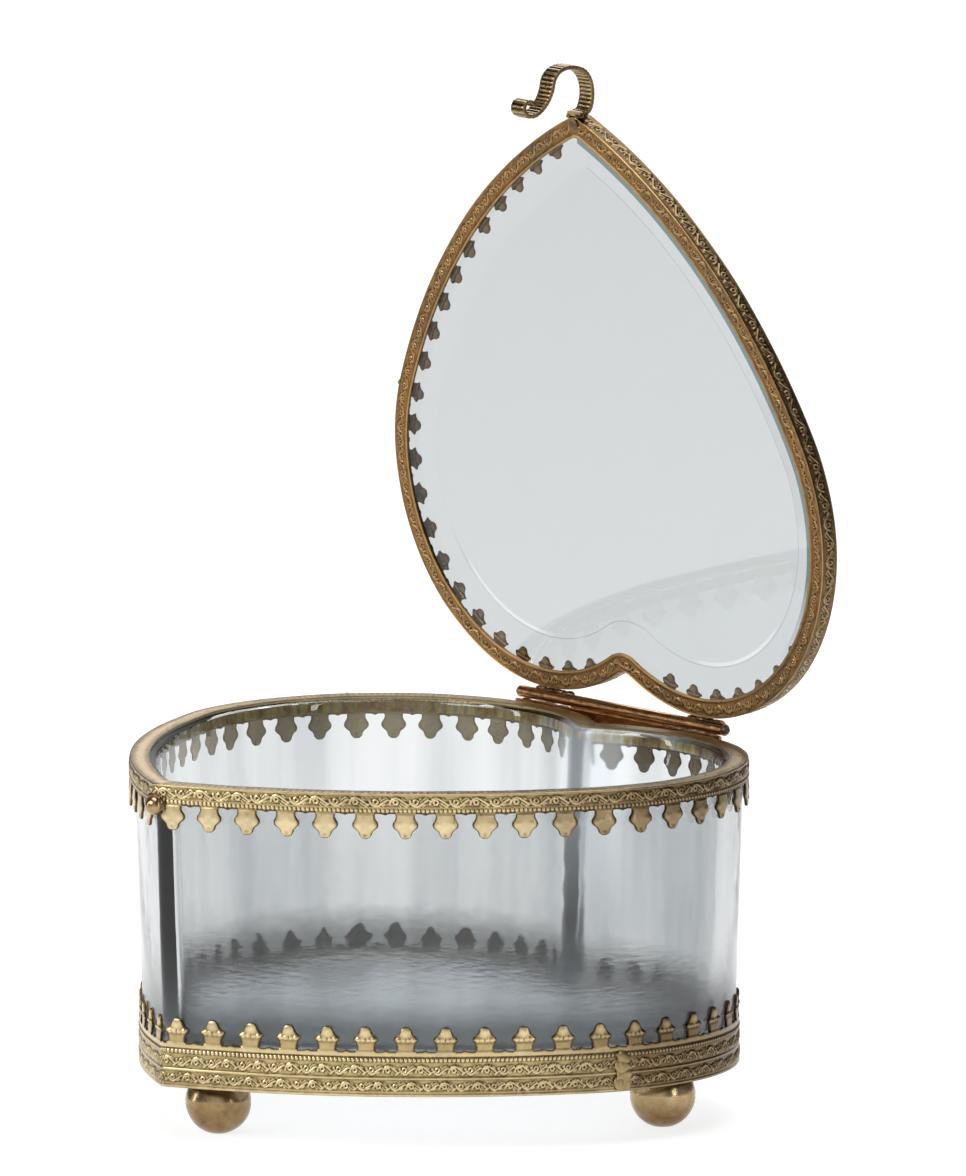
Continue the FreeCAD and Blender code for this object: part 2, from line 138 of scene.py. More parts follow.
def facing(angle_deg):
    """The distance round the outline where it faces this plan angle, past the tip and cleft."""
    u = np.linspace(5, 2 * HALF_LENGTH - 5, 3000)
    u = u[np.abs(u - HALF_LENGTH) > 12]
    nx, ny = outline(u)[2:]
    angle = math.radians(angle_deg)
    return float(u[np.argmax(nx * math.cos(angle) + ny * math.sin(angle))])


def mm_to_row(points, lid=False):
    """Row metres from heart millimetres; lid points are given closed and swung open."""
    p = np.array(points, float)
    if lid:
        y, z = p[..., 1] - HINGE_Y, p[..., 2] - HINGE_Z
        c, s = math.cos(OPEN), math.sin(OPEN)
        p[..., 1] = HINGE_Y + y * c + z * s
        p[..., 2] = HINGE_Z - y * s + z * c
    p[..., 1] += SHIFT_Y
    return p / 1000


# ------------------------------------------------------------------ meshes
def make_object(name, points, faces, material, body, marks=None, sharp=40):
    """A piece of the visual model; marks are named values at its points for the materials.

    Pieces that swing with the lid are given closed."""
    mesh = bpy.data.meshes.new(name)
    mesh.from_pydata(mm_to_row(points, body != "box").tolist(), [], [list(map(int, f)) for f in faces])
    for mark, values in (marks or {}).items():
        layer = mesh.attributes.new(mark, "FLOAT", "POINT")
        layer.data.foreach_set("value", np.asarray(values, np.float32))
    mesh.validate()
    mesh.shade_smooth()
    mesh.set_sharp_from_angle(angle=math.radians(sharp))
    obj = bpy.data.objects.new(name, mesh)
    bpy.context.scene.collection.objects.link(obj)
    mesh.materials.append(material)
    face_outward(obj)
    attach(obj, body)
    return obj


def face_outward(obj):
    """Turns every face of a closed piece outward."""
    work = bmesh.new()
    work.from_mesh(obj.data)
    bmesh.ops.recalc_face_normals(work, faces=work.faces)
    work.to_mesh(obj.data)
    work.free()


def ring_quads(rings, size):
    """Quads between neighbouring closed rings of size points each."""
    i = np.arange(size)
    j = (i + 1) % size
    starts = np.arange(rings - 1)[:, None] * size
    return np.stack([starts + i, starts + j, starts + size + j, starts + size + i], -1).reshape(-1, 4)


def capped_rings(rings, size):
    """Faces of a closed solid of rings, with fans to the two end points listed after them."""
    first, last, top = rings * size, rings * size + 1, (rings - 1) * size
    quads = ring_quads(rings, size)
    pairs = quads[:size, :2].tolist()
    faces = quads.tolist()
    faces += [[first, b, a] for a, b in pairs]
    faces += [[last, top + a, top + b] for a, b in pairs]
    return faces


def closed_sheet(front, back, faces):
    """Points and faces of a thin solid, from a sheet's two faces and their shared quads."""
    faces = np.asarray(faces)
    count = len(front)
    edges = np.concatenate([faces[:, [k, (k + 1) % 4]] for k in range(4)])
    key = np.sort(edges, axis=1)
    order = key[:, 0] * count + key[:, 1]
    _, first, uses = np.unique(order, return_index=True, return_counts=True)
    rim = edges[first[uses == 1]]
    walls = np.stack([rim[:, 1], rim[:, 0], rim[:, 0] + count, rim[:, 1] + count], axis=1)
    return np.concatenate([front, back]), np.concatenate([faces, faces[:, ::-1] + count, walls])


# ------------------------------------------------------------------ stamped relief
def ridge(distance, width):
    """A rounded ridge: 1 on its line, 0 at width from it."""
    return np.clip(1 - (distance / width) ** 2, 0, 1)


def near_line(u, v, line):
    """Distance from each (u, v) to a line through a few points, repeated every pitch."""
    u = np.mod(u, PITCH)
    best = np.full(np.shape(u), 9.0)
    for shift in (-PITCH, 0, PITCH):
        for (au, av), (bu, bv) in zip(line[:-1], line[1:]):
            du, dv = bu - au, bv - av
            t = ((u - au - shift) * du + (v - av) * dv) / (du * du + dv * dv)
            t = np.clip(t, 0, 1)
            best = np.minimum(best, np.hypot(u - au - shift - t * du, v - av - t * dv))
    return best


# One pitch of the running vine: an S-shaped stem that turns round two eyelets,
# and the short strokes beside it. The second half repeats the first upside down.
STEM = [(0.75, -0.28), (0.92, 0.12), (1.25, 0.5), (1.75, 0.68), (2.3, 0.56), (2.8, 0.22), (3.3, -0.16),
        (3.75, -0.42)]
STROKES = [
    [(0.15, 0.72), (0.5, 0.5), (0.78, 0.22)],
    [(2.55, -0.12), (2.9, -0.42), (3.3, -0.66)],
    [(2.35, -0.45), (2.6, -0.72)],
    [(2.85, 0.62), (3.25, 0.34)],
]


def scroll(u, v):
    """The running vine, with v measured from the row's middle."""
    height = np.zeros(np.shape(u))
    for k, flip in ((0, 1), (1, -1)):
        shifted = u - k * PITCH / 2
        height = np.maximum(height, ridge(near_line(shifted, v * flip, STEM), 0.23))
        for line in STROKES:
            height = np.maximum(height, 0.7 * ridge(near_line(shifted, v * flip, line), 0.16))
        from_eye = near_line(shifted, v * flip, [(1.72, -0.02), (1.721, -0.02)])
        height = np.maximum(height, ridge(from_eye - 0.36, 0.17))
    return height


def cavities(height):
    """How far each place lies in the shadow of the relief round it, on a closed grid."""
    soft = height.copy()
    for _ in range(2):
        soft = (np.roll(soft, 1, 1) + 2 * soft + np.roll(soft, -1, 1)) / 4
        up, down = np.vstack([soft[:1], soft[:-1]]), np.vstack([soft[1:], soft[-1:]])
        soft = (up + 2 * soft + down) / 4
    return np.clip(soft - height, 0, 1)


def beads(u, v, per_pitch=9, radius=0.34):
    """A row of round beads along v = 0."""
    step = PITCH / per_pitch
    r = np.hypot(np.mod(u, step) - step / 2, v)
    return np.sqrt(np.clip(1 - (r / radius) ** 2, 0, 1))


def ribs(u, per_pitch):
    """Rounded ribs across a strip."""
    return 0.5 + 0.5 * np.cos(2 * math.pi * u * per_pitch / PITCH)


# ------------------------------------------------------------------ strips
def wander(u, seed, size=1.0):
    """A smooth, closed, uneven line round the outline."""
    draw = np.random.default_rng(seed)
    total = np.zeros(np.shape(u))
    for k in (2, 3, 5, 8, 13, 21):
        height = draw.normal() / math.sqrt(k)
        total += height * np.sin(math.pi * k * u / HALF_LENGTH + draw.uniform(0, 6.28))
    return total * size / 2


def make_strip(name, section, relief, patina, material, body, tab_head, tab_relief, seed,
               bare=(), bend=0.12, tab_length=TAB_LENGTH, fillet=1.0):
    """A stamped strip bent round the heart, one continuous sheet with its tabs.

    section is a list of (d, z, normal d, normal z, v) rows that ends at the tabs'
    edge, relief(u, v) gives 0..1, patina(v) its age 0..1, tab_head is a tab's
    outline, and bare lists tab numbers that are left out."""
    count = TABS * COLUMNS
    u = np.arange(count) * PITCH / COLUMNS
    rows = np.array(section)
    grid_u, grid_v = np.meshgrid(u, rows[:, 4])
    height = relief(grid_u, grid_v)
    # a small point in the edge halfway between tabs
    middle = np.abs(np.mod(u + PITCH / 2, PITCH) - PITCH / 2)
    cusp = 0.22 * np.exp(-(middle / 0.4) ** 2)
    edge_share = np.clip((rows[:, 4] - rows[-1, 4] + 0.5) / 0.5, 0, 1)[:, None]
    step_d, step_z = rows[-1, 0] - rows[-2, 0], rows[-1, 1] - rows[-2, 1]
    length = math.hypot(step_d, step_z)
    step_d, step_z = step_d / length, step_z / length
    nd, nz = rows[-1, 2], rows[-1, 3]
    soft = wander(grid_u, seed, 0.07) - 0.05
    sides = []
    for lift in ((height - 1) * RELIEF + soft, (0.5 * height - 1) * RELIEF - SHEET + soft):
        d = rows[:, 0:1] + rows[:, 2:3] * lift + step_d * cusp * edge_share
        z = rows[:, 1:2] + rows[:, 3:4] * lift + step_z * cusp * edge_share
        sides.append([place(grid_u, d, z, fillet).reshape(-1, 3)])
    between = np.abs(np.mod(grid_u, PITCH) - PITCH / 2) > PITCH / 4
    outlined = between * np.clip((grid_v - rows[-1, 4] + 0.3) / 0.3, 0, 1)
    tones = [(0.5 + 0.5 * height - 2.2 * cavities(height) - 0.9 * outlined).reshape(-1)]
    ages = [np.broadcast_to(patina(rows[:, 4])[:, None], height.shape).reshape(-1)]
    faces = [ring_quads(len(rows), count)[:, [0, 3, 2, 1]]]
    # tabs: rows of columns that open out from the strip's last row
    half = COLUMNS // 4
    across = np.linspace(-1, 1, 2 * half + 1)
    ts = np.linspace(0, tab_length, 23)[1:]
    width = np.interp(ts * TAB_LENGTH / tab_length, *zip(*tab_head))
    t_grid, s_grid = np.meshgrid(ts, across, indexing="ij")
    offset = len(rows) * count
    last_row = offset - count
    age = patina(rows[-1:, 4])[0]
    for tab in range(TABS):
        bow, lean, scale = rng.normal(0, bend), rng.normal(0, 0.03), 1 + rng.normal(0, 0.02)
        if tab in bare:
            continue
        from_middle = s_grid * width[:, None]
        tab_u = (tab + 0.5) * PITCH + from_middle * scale + lean * t_grid
        tone = tab_relief(from_middle, t_grid * TAB_LENGTH / tab_length, s_grid)
        rolled = np.clip((np.abs(s_grid) - 0.72) / 0.28, 0, 1) ** 2
        rolled = np.maximum(rolled, np.clip((t_grid - tab_length + 0.35) / 0.35, 0, 1) ** 2)
        droop = bow * (t_grid / tab_length) ** 2 + wander(tab_u, seed, 0.07) - 0.05
        front = (tone - 1) * 1.3 * RELIEF - 0.12 * rolled
        back = 0.5 * tone * RELIEF - RELIEF - SHEET
        for side, lift in zip(sides, (front, back)):
            side.append(place(tab_u, rows[-1, 0] + step_d * t_grid + nd * (lift + droop),
                              rows[-1, 1] + step_z * t_grid + nz * (lift + droop), fillet).reshape(-1, 3))
        tones.append((0.3 + 0.65 * tone - 1.1 * rolled).reshape(-1))
        ages.append(np.full(tone.size, age))
        columns = (tab * COLUMNS + COLUMNS // 2 + np.arange(-half, half + 1)) % count
        ids = np.vstack([last_row + columns, offset + np.arange(tone.size).reshape(tone.shape)])
        faces.append(np.stack([ids[:-1, :-1], ids[1:, :-1], ids[1:, 1:], ids[:-1, 1:]], -1).reshape(-1, 4))
        offset += tone.size
    front, back = (np.concatenate(side) for side in sides)
    points, faces = closed_sheet(front, back, np.concatenate(faces))
    tones, ages = np.concatenate(tones), np.concatenate(ages)
    marks = {
        "tone": np.concatenate([tones, 0.5 + 0.45 * tones]),
        "age": np.concatenate([ages, ages * 0 + 0.1]),
    }
    return make_object(name, points, faces, material, body, marks, sharp=50)


# Tab outlines: (distance from the root, half width).
HANGING_HEAD = [(0, 1.65), (0.3, 1.58), (0.7, 1.6), (1.1, 1.8), (1.5, 2.08), (1.85, 2.16), (2.2, 2.08),
                (2.5, 1.8), (2.75, 1.42), (3.0, 1.18), (3.3, 1.06), (3.6, 0.98), (3.85, 0.78), (4.1, 0.4)]
UPRIGHT_HEAD = [(0, 1.65), (0.4, 1.5), (0.8, 1.48), (1.2, 1.6), (1.7, 1.95), (2.05, 2.05), (2.3, 1.9),
                (2.55, 1.55), (2.8, 1.25), (3.1, 1.05), (3.4, 0.95), (3.7, 0.8), (3.95, 0.52), (4.1, 0.25)]


def hanging_tab(x, t, s):
    """A pendant: softly domed, with a dimple at its tip."""
    dome = 0.55 + 0.4 * (1 - s ** 2) * np.clip(t / 1.5, 0.3, 1)
    dimple = 0.5 * ridge(np.hypot(x, t - 3.45), 0.42)
    shoulder = 0.2 * ridge(np.hypot(np.abs(x) - 1.2, t - 1.9), 0.6)
    return dome - dimple + shoulder


def upright_tab(x, t, _):
    """A hat: a smooth neck, a beaded brim and a domed top."""
    neck = np.where(t < 1.45, 0.3, 0.0)
    brim = beads(x, t - 1.95, 8, 0.42)
    crown = np.where(t > 2.4, 0.15 + 0.75 * ridge(np.hypot(x, t - 3.15), 1.1), 0)
    return np.maximum(np.maximum(neck, brim), crown)


def fold_rows(start, turn, finish, radius, step=0.17):
    """Section rows along two straight runs with a rounded fold between them."""
    start, turn, finish = (np.array(p, float) for p in (start, turn, finish))
    a, b = start - turn, finish - turn
    length_a, length_b = np.linalg.norm(a), np.linalg.norm(b)
    a, b = a / length_a, b / length_b
    half_angle = math.acos(np.clip(a @ b, -1, 1)) / 2
    back = radius / math.tan(half_angle)
    centre = turn + (a + b) / np.linalg.norm(a + b) * radius / math.sin(half_angle)
    bend_start, bend_end = turn + a * back, turn + b * back
    path = [start + (bend_start - start) * t for t in np.linspace(0, 1, max(2, round(length_a / step)))]
    from_angle, to_angle = bend_start - centre, bend_end - centre
    for t in np.linspace(0, 1, 6)[1:-1]:
        mix = from_angle * (1 - t) + to_angle * t
        path.append(centre + mix / np.linalg.norm(mix) * radius)
    path += [bend_end + (finish - turn - b * back) * t
             for t in np.linspace(0, 1, max(2, round(length_b / step)))]
    return path


def section_rows(path, outward):
    """Rows (d, z, normal d, normal z, v) along a path; outward is +1 or -1 for its side."""
    path = np.array(path)
    tangent = np.gradient(path, axis=0)
    tangent /= np.linalg.norm(tangent, axis=1)[:, None]
    v = np.concatenate([[0], np.cumsum(np.linalg.norm(np.diff(path, axis=0), axis=1))])
    return [(p[0], p[1], outward * t[1], -outward * t[0], dist) for p, t, dist in zip(path, tangent, v)]


def rim_relief(u, v):
    """Ribs on the top flange, then the vine and the bead row on the wall."""
    wall = v - RIM_FLANGE
    top = np.where(wall < -0.3, 0.3 + 0.45 * ribs(u, 6) * np.sin(np.clip(v / 3.0, 0, 1) * math.pi), 0)
    vine = np.where(np.abs(wall - 1.35) < 1.0, scroll(u, 1.35 - wall), 0)
    row = beads(u, wall - 2.75, 9, 0.31)
    lip = 0.5 * ridge(wall, 0.4)
    line = 0.4 * ridge(wall - 2.3, 0.14)
    return np.maximum.reduce([top, vine, row, lip, line])


def base_relief(u, v):
    """From the bottom edge: lip, vine, ridge, vine, beads, edge."""
    lower = np.where(np.abs(v - 1.7) < 0.95, scroll(u * 1.2 + 1.9, (v - 1.7) * 1.1), 0)
    upper = np.where(np.abs(v - 4.4) < 1.0, scroll(u * 1.2, v - 4.4), 0)
    lip = 0.8 * ridge(v - 0.25, 0.3)
    lines = np.maximum(0.7 * ridge(v - 3.0, 0.22), 0.5 * ridge(v - 0.72, 0.14))
    row = beads(u, v - 6.05, 9, 0.33)
    edge = np.where(v > 6.6, 0.5, 0)
    return np.maximum.reduce([lower, upper, lip, lines, row, edge])


def lid_relief(u, v):
    """The channel: vine underneath, vine on its edge, beads on the top flange."""
    across_lip = v - LID_LIP / 2 - 0.1
    up_wall = v - LID_LIP - 1.7
    under = np.where(np.abs(across_lip) < 0.95, 0.8 * scroll(u * 1.2 + 2.5, across_lip * 1.05), 0)
    inner = 0.7 * ridge(v - 0.25, 0.3)
    wall = np.where(np.abs(up_wall) < 1.15, scroll(-u, up_wall * 0.9), 0)
    lines = np.maximum(0.8 * ridge(v - LID_LIP, 0.3), 0.6 * ridge(up_wall - 1.75, 0.35))
    row = np.where(up_wall > 1.8, beads(u, up_wall - 2.9), 0)
    return np.maximum.reduce([under, inner, wall, lines, row])


# ------------------------------------------------------------------ materials
def ramp(nodes, stops):
    node = nodes.new("ShaderNodeValToRGB")
    elements = node.color_ramp.elements
    while len(elements) < len(stops):
        elements.new(0.5)
    for element, (at, colour) in zip(elements, stops):
        element.position = at
        element.color = (*colour, 1)
    return node


def noise(nodes, links, coords, scale, detail=4.0, rough=0.6):
    node = nodes.new("ShaderNodeTexNoise")
    node.inputs["Scale"].default_value = scale
    node.inputs["Detail"].default_value = detail
    node.inputs["Roughness"].default_value = rough
    links.new(coords, node.inputs["Vector"])
    return node.outputs["Fac"]


def mix_colour(nodes, links, factor, first, second, blend="MIX"):
    node = nodes.new("ShaderNodeMix")
    node.data_type = "RGBA"
    node.blend_type = blend
    for socket, value in ((node.inputs[0], factor), (node.inputs[6], first), (node.inputs[7], second)):
        if isinstance(value, bpy.types.NodeSocket):
            links.new(value, socket)
        else:
            socket.default_value = value
    return node.outputs[2]


def map_range(nodes, links, value, low, high, to_low, to_high):
    node = nodes.new("ShaderNodeMapRange")
    for k, number in enumerate((low, high, to_low, to_high)):
        node.inputs[k + 1].default_value = number
    links.new(value, node.inputs[0])
    return node.outputs[0]


def new_material(name):
    material = bpy.data.materials.new(name)
    material.use_nodes = True
    nodes, links = material.node_tree.nodes, material.node_tree.links
    shader = nodes["Principled BSDF"]
    coords = nodes.new("ShaderNodeTexCoord").outputs["Object"]
    return material, nodes, links, shader, coords


def maths(nodes, links, operation, first, second):
    """A maths node on two sockets or numbers."""
    node = nodes.new("ShaderNodeMath")
    node.operation = operation
    for socket, value in zip(node.inputs, (first, second)):
        if isinstance(value, bpy.types.NodeSocket):
            links.new(value, socket)
        else:
            socket.default_value = value
    return node.outputs[0]


def along(nodes, links, coords, way):
    """How far a place or direction lies along a fixed way."""
    node = nodes.new("ShaderNodeVectorMath")
    node.operation = "DOT_PRODUCT"
    links.new(coords, node.inputs[0])
    node.inputs[1].default_value = way
    return node.outputs["Value"]


def mark(nodes, name):
    node = nodes.new("ShaderNodeAttribute")
    node.attribute_name = name
    return node.outputs["Fac"]


def aged_metal(name, fresh, old, rough=(0.25, 0.42), marked=True, patches=(0.5, 0.72), painted_shade=None):
    """Worn metal. fresh and old are its colours in the recesses, on the body and on the peaks.

    It goes from fresh to old in patches, where it's marked old, and along a fixed way given
    (way, start, end) in the row's metres: a painted shade that darkens one side of the piece."""
    material, nodes, links, shader, coords = new_material(name)
    shader.inputs["Metallic"].default_value = 1.0
    wide = noise(nodes, links, coords, 70, 6, 0.62)
    fine = noise(nodes, links, coords, 800, 4, 0.65)
    age = map_range(nodes, links, wide, *patches, 0.0, 0.7)
    if marked:
        grain = map_range(nodes, links, fine, 0.3, 0.7, -0.12, 0.12)
        tone = maths(nodes, links, "ADD", mark(nodes, "tone"), grain)
        age = maths(nodes, links, "MAXIMUM", age, mark(nodes, "age"))
    else:
        tone = map_range(nodes, links, fine, 0.28, 0.72, 0.38, 0.72)
    # painted shade: towards the end of the given way the colour goes to the old, darker colours
    if painted_shade:
        way, start, end = painted_shade
        place_along = along(nodes, links, coords, way)
        uneven = maths(nodes, links, "MULTIPLY", wide, 0.02)
        place_along = maths(nodes, links, "ADD", place_along, uneven)
        share = map_range(nodes, links, place_along, start, end, 0.0, 1.0)
        age = maths(nodes, links, "MAXIMUM", age, share)
    shades = []
    for colours in (fresh, old):
        shade = ramp(nodes, [(0.05, colours[0]), (0.5, colours[1]), (1.0, colours[2])])
        links.new(tone, shade.inputs[0])
        shades.append(shade.outputs[0])
    links.new(mix_colour(nodes, links, age, *shades), shader.inputs["Base Color"])
    links.new(map_range(nodes, links, fine, 0.3, 0.75, *rough), shader.inputs["Roughness"])
    node = nodes.new("ShaderNodeBump")
    node.inputs["Strength"].default_value = 0.2
    node.inputs["Distance"].default_value = 0.00008
    links.new(noise(nodes, links, coords, 1600, 3, 0.7), node.inputs["Height"])
    links.new(node.outputs[0], shader.inputs["Normal"])
    return material


def clear_glass(name, tint, depth_tint, density, bump, scale):
    """Clear glass, grey through its depth, with an uneven skin."""
    material, nodes, links, shader, coords = new_material(name)
    shader.inputs["Base Color"].default_value = (*tint, 1)
    shader.inputs["Transmission Weight"].default_value = 1.0
    shader.inputs["Roughness"].default_value = 0.0
    shader.inputs["IOR"].default_value = 1.5
    node = nodes.new("ShaderNodeBump")
    node.inputs["Strength"].default_value = bump
    node.inputs["Distance"].default_value = 0.0003
    waves = noise(nodes, links, coords, scale, 2, 0.45)
    links.new(waves, node.inputs["Height"])
    links.new(node.outputs[0], shader.inputs["Normal"])
    volume = nodes.new("ShaderNodeVolumeAbsorption")
    volume.inputs["Color"].default_value = (*depth_tint, 1)
    volume.inputs["Density"].default_value = density
    links.new(volume.outputs[0], nodes["Material Output"].inputs["Volume"])
    return material, nodes, links, shader, coords, waves, node


def stretched(nodes, links, coords, upward):
    """Coordinates squeezed upward, for patterns that run up or along a wall."""
    node = nodes.new("ShaderNodeMapping")
    node.inputs["Scale"].default_value = (1, 1, upward)
    links.new(coords, node.inputs["Vector"])
    return node.outputs[0]


GLASS_GREY = (0.70, 0.715, 0.72)


def bowl_glass():
    """Moulded glass: soft upright streaks of painted reflection in its tint, a dark brink of painted shade
    round the floor and ripples near it.

    Its heights are in the row's metres, like its coordinates."""
    material, nodes, links, shader, coords, waves, skin = clear_glass(
        "bowl_glass", GLASS_GREY, (0.42, 0.48, 0.51), 26.0, 0.3, 110)
    height = along(nodes, links, coords, (0, 0, 1))
    # painted reflections: lighter and darker upright streaks in the glass's tint
    reflection_streaks = noise(nodes, links, stretched(nodes, links, coords, 0.08), 95, 3, 0.5)
    reflection_streaked = ramp(nodes, [(0.36, (0.56, 0.58, 0.59)), (0.5, GLASS_GREY), (0.62, (0.80, 0.81, 0.81))])
    links.new(reflection_streaks, reflection_streaked.inputs[0])
    on_floor = map_range(nodes, links, height, 0.0152, 0.0165, 0.85, 0.0)
    walled = mix_colour(nodes, links, on_floor, reflection_streaked.outputs[0], (*GLASS_GREY, 1))
    ripples = noise(nodes, links, stretched(nodes, links, coords, 3.5), 420, 3, 0.55)
    near_floor = map_range(nodes, links, height, 0.0155, 0.036, 1.0, 0.0)
    waves = maths(nodes, links, "ADD", waves, maths(nodes, links, "MULTIPLY", ripples, near_floor))
    links.new(waves, skin.inputs["Height"])
    uneven = maths(nodes, links, "ADD", height, maths(nodes, links, "MULTIPLY", ripples, 0.003))
    above = map_range(nodes, links, uneven, 0.0162, 0.0262, 0.0, 1.0)
    # painted shade: the tint darkens on and just above the floor, most in a band round the foot of the
    # walls
    painted_floor_shade = ramp(nodes, [(0.0, (0.52, 0.53, 0.54)), (0.06, (0.5, 0.51, 0.52)), (0.16, (0.24, 0.25, 0.25)),
                         (0.5, (0.3, 0.31, 0.31)), (1.0, (1, 1, 1))])
    links.new(above, painted_floor_shade.inputs[0])
    colour = mix_colour(nodes, links, 1.0, walled, painted_floor_shade.outputs[0], "MULTIPLY")
    links.new(colour, shader.inputs["Base Color"])
    low_rough = map_range(nodes, links, height, 0.020, 0.034, 0.22, 0.0)
    links.new(maths(nodes, links, "MAXIMUM", low_rough, mark(nodes, "blur_and_glow")), shader.inputs["Roughness"])
    # painted glow: the pressed floor, and the cleft where it is marked, glow as if light were scattered in
    # the glass
    glow = map_range(nodes, links, height, 0.0151, 0.0158, 0.2, 0.0)
    patchy = map_range(nodes, links, reflection_streaks, 0.36, 0.62, 0.85, 1.15)
    glow = maths(nodes, links, "MULTIPLY", glow, patchy)
    cleft_glow = maths(nodes, links, "MULTIPLY", mark(nodes, "blur_and_glow"), 0.6)
    links.new(maths(nodes, links, "ADD", glow, cleft_glow), shader.inputs["Emission Strength"])
    shader.inputs["Emission Color"].default_value = (0.86, 0.93, 1.0, 1)
    return material


def pane_glass():
    """The bevelled pane, with a dark teal strip of painted shade down its right side and the gleam of its
    bevel, where they are marked.
    """
    tint = (0.60, 0.615, 0.615)
    material, nodes, links, shader, *_ = clear_glass("lid_glass", tint, (0.25, 0.42, 0.44), 30.0, 0.03, 40)
    # painted shade: where marked, the pane is darkened to a dark teal beside the flange on its right side
    teal_shaded = mix_colour(nodes, links, mark(nodes, "edge"), (*tint, 1), (0.05, 0.10, 0.10, 1))
    colour = mix_colour(nodes, links, mark(nodes, "gleam"), teal_shaded, (1.0, 1.0, 1.0, 1))
    links.new(colour, shader.inputs["Base Color"])
    return material


def dull_surface(name, stops, scale, rough, metallic):
    """Solder or cement: mottled tones on a lumpy skin."""
    material, nodes, links, shader, coords = new_material(name)
    shader.inputs["Metallic"].default_value = metallic
    mottled = noise(nodes, links, coords, scale, 5, 0.65)
    colours = ramp(nodes, stops)
    links.new(mottled, colours.inputs[0])
    links.new(colours.outputs[0], shader.inputs["Base Color"])
    roughness = map_range(nodes, links, mottled, 0.3, 0.8, rough - 0.15, rough + 0.1)
    links.new(roughness, shader.inputs["Roughness"])
    node = nodes.new("ShaderNodeBump")
    node.inputs["Strength"].default_value = 0.5
    node.inputs["Distance"].default_value = 0.0002
    links.new(mottled, node.inputs["Height"])
    links.new(node.outputs[0], shader.inputs["Normal"])
    return material


GOLD = [(0.10, 0.065, 0.03), (0.50, 0.38, 0.18), (0.80, 0.66, 0.40)]
BRONZE = [(0.045, 0.03, 0.018), (0.17, 0.115, 0.055), (0.36, 0.27, 0.15)]
COPPER = [(0.085, 0.04, 0.018), (0.31, 0.17, 0.06), (0.56, 0.35, 0.15)]
BROWN = [(0.03, 0.02, 0.012), (0.13, 0.075, 0.035), (0.26, 0.17, 0.09)]
TO_THE_RIGHT = (0.643, 0.766, 0.0)
# painted shade: the rim and base bands darken towards their right-hand side, where the light falls off
RIM_BRASS = aged_metal("rim_brass", GOLD, BRONZE, painted_shade=(TO_THE_RIGHT, 0.026, 0.046))
BASE_BRASS = aged_metal("base_brass", GOLD, BRONZE, painted_shade=(TO_THE_RIGHT, 0.030, 0.052))
LID_BRASS = aged_metal("lid_brass", COPPER, BRONZE, (0.28, 0.48), patches=(0.46, 0.7))
HINGE_BRASS = aged_metal("hinge_copper", [(0.2, 0.1, 0.04), (0.5, 0.26, 0.11), (0.7, 0.42, 0.2)], BROWN,
                         (0.16, 0.26), marked=False, patches=(0.52, 0.7))
# painted shade: the feet darken towards their bottoms
FOOT_BRASS = aged_metal("foot_brass", [(0.22, 0.16, 0.08), (0.44, 0.33, 0.17), (0.62, 0.50, 0.29)],
                        [(0.09, 0.05, 0.025), (0.19, 0.11, 0.05), (0.32, 0.19, 0.09)], (0.2, 0.3),
                        marked=False, painted_shade=((0, 0, -1), 0.0035, 0.009))
BEAD_BRASS = aged_metal("bead_brass", [(0.22, 0.14, 0.07), (0.38, 0.26, 0.13), (0.55, 0.40, 0.22)], BROWN,
                        (0.2, 0.28), marked=False)
CLASP_BRASS = aged_metal("clasp_brass", [(0.05, 0.03, 0.016), (0.23, 0.145, 0.065), (0.50, 0.36, 0.17)],
                         BROWN, (0.22, 0.4))
PLAIN_BRASS = aged_metal("plain_brass", BRONZE, BROWN, (0.3, 0.5), marked=False)
DARK_WIRE = aged_metal("dark_wire", [(0.03, 0.02, 0.02), (0.08, 0.06, 0.05), (0.2, 0.16, 0.13)], BROWN,
                       (0.35, 0.55), marked=False)
SOLDER = dull_surface("solder", [(0.3, (0.08, 0.06, 0.045)), (0.7, (0.30, 0.27, 0.23))], 700, 0.42, 0.9)
SEAM_BRASS = aged_metal("seam_brass", GOLD, BRONZE, (0.35, 0.55), marked=False, patches=(0.35, 0.6))
CEMENT = dull_surface("cement", [
    (0.36, (0.10, 0.05, 0.03)), (0.43, (0.42, 0.22, 0.11)), (0.5, (0.62, 0.46, 0.16)),
    (0.58, (0.85, 0.70, 0.33)), (0.66, (0.95, 0.92, 0.84)),
], 120, 0.45, 0.35)
BROWN_SOLDER = dull_surface("brown_solder", [(0.3, (0.07, 0.045, 0.025)), (0.7, (0.26, 0.17, 0.09))],
                            600, 0.4, 0.95)
BOWL_GLASS = bowl_glass()
LID_GLASS = pane_glass()


# ------------------------------------------------------------------ glass
def section_solid(name, rows, wave, material, body, sharp=30, fillet=1.0, marks=None):
    """A closed solid round the heart from (offset, z, share) rows.

    share 1 keeps the outline at that offset, and less draws it in towards the
    middle, so that the first and last rows close the solid on a point. marks
    gives each named value for a row: (row number, distances) -> values."""
    marks = marks or {}
    columns = 720
    u = np.linspace(0, 2 * HALF_LENGTH, columns, endpoint=False)
    middle = np.array([0.0, -8.0])
    points = []
    values = {mark_name: [] for mark_name in marks}
    for k, (offset, z, share) in enumerate(rows):
        ring = place(u, offset + wave(u, z, offset), z, fillet)
        ring[:, :2] = middle + (ring[:, :2] - middle) * share
        points.append(ring)
        for mark_name, rule in marks.items():
            values[mark_name].append(rule(k, u) + 0 * u)
    ends = [np.array([[*middle, rows[0][1]]]), np.array([[*middle, rows[-1][1]]])]
    values = {mark_name: np.concatenate(parts + [[0.0, 0.0]]) for mark_name, parts in values.items()}
    faces = capped_rings(len(rows), columns)
    return make_object(name, np.concatenate(points + ends), faces, material, body, values, sharp)


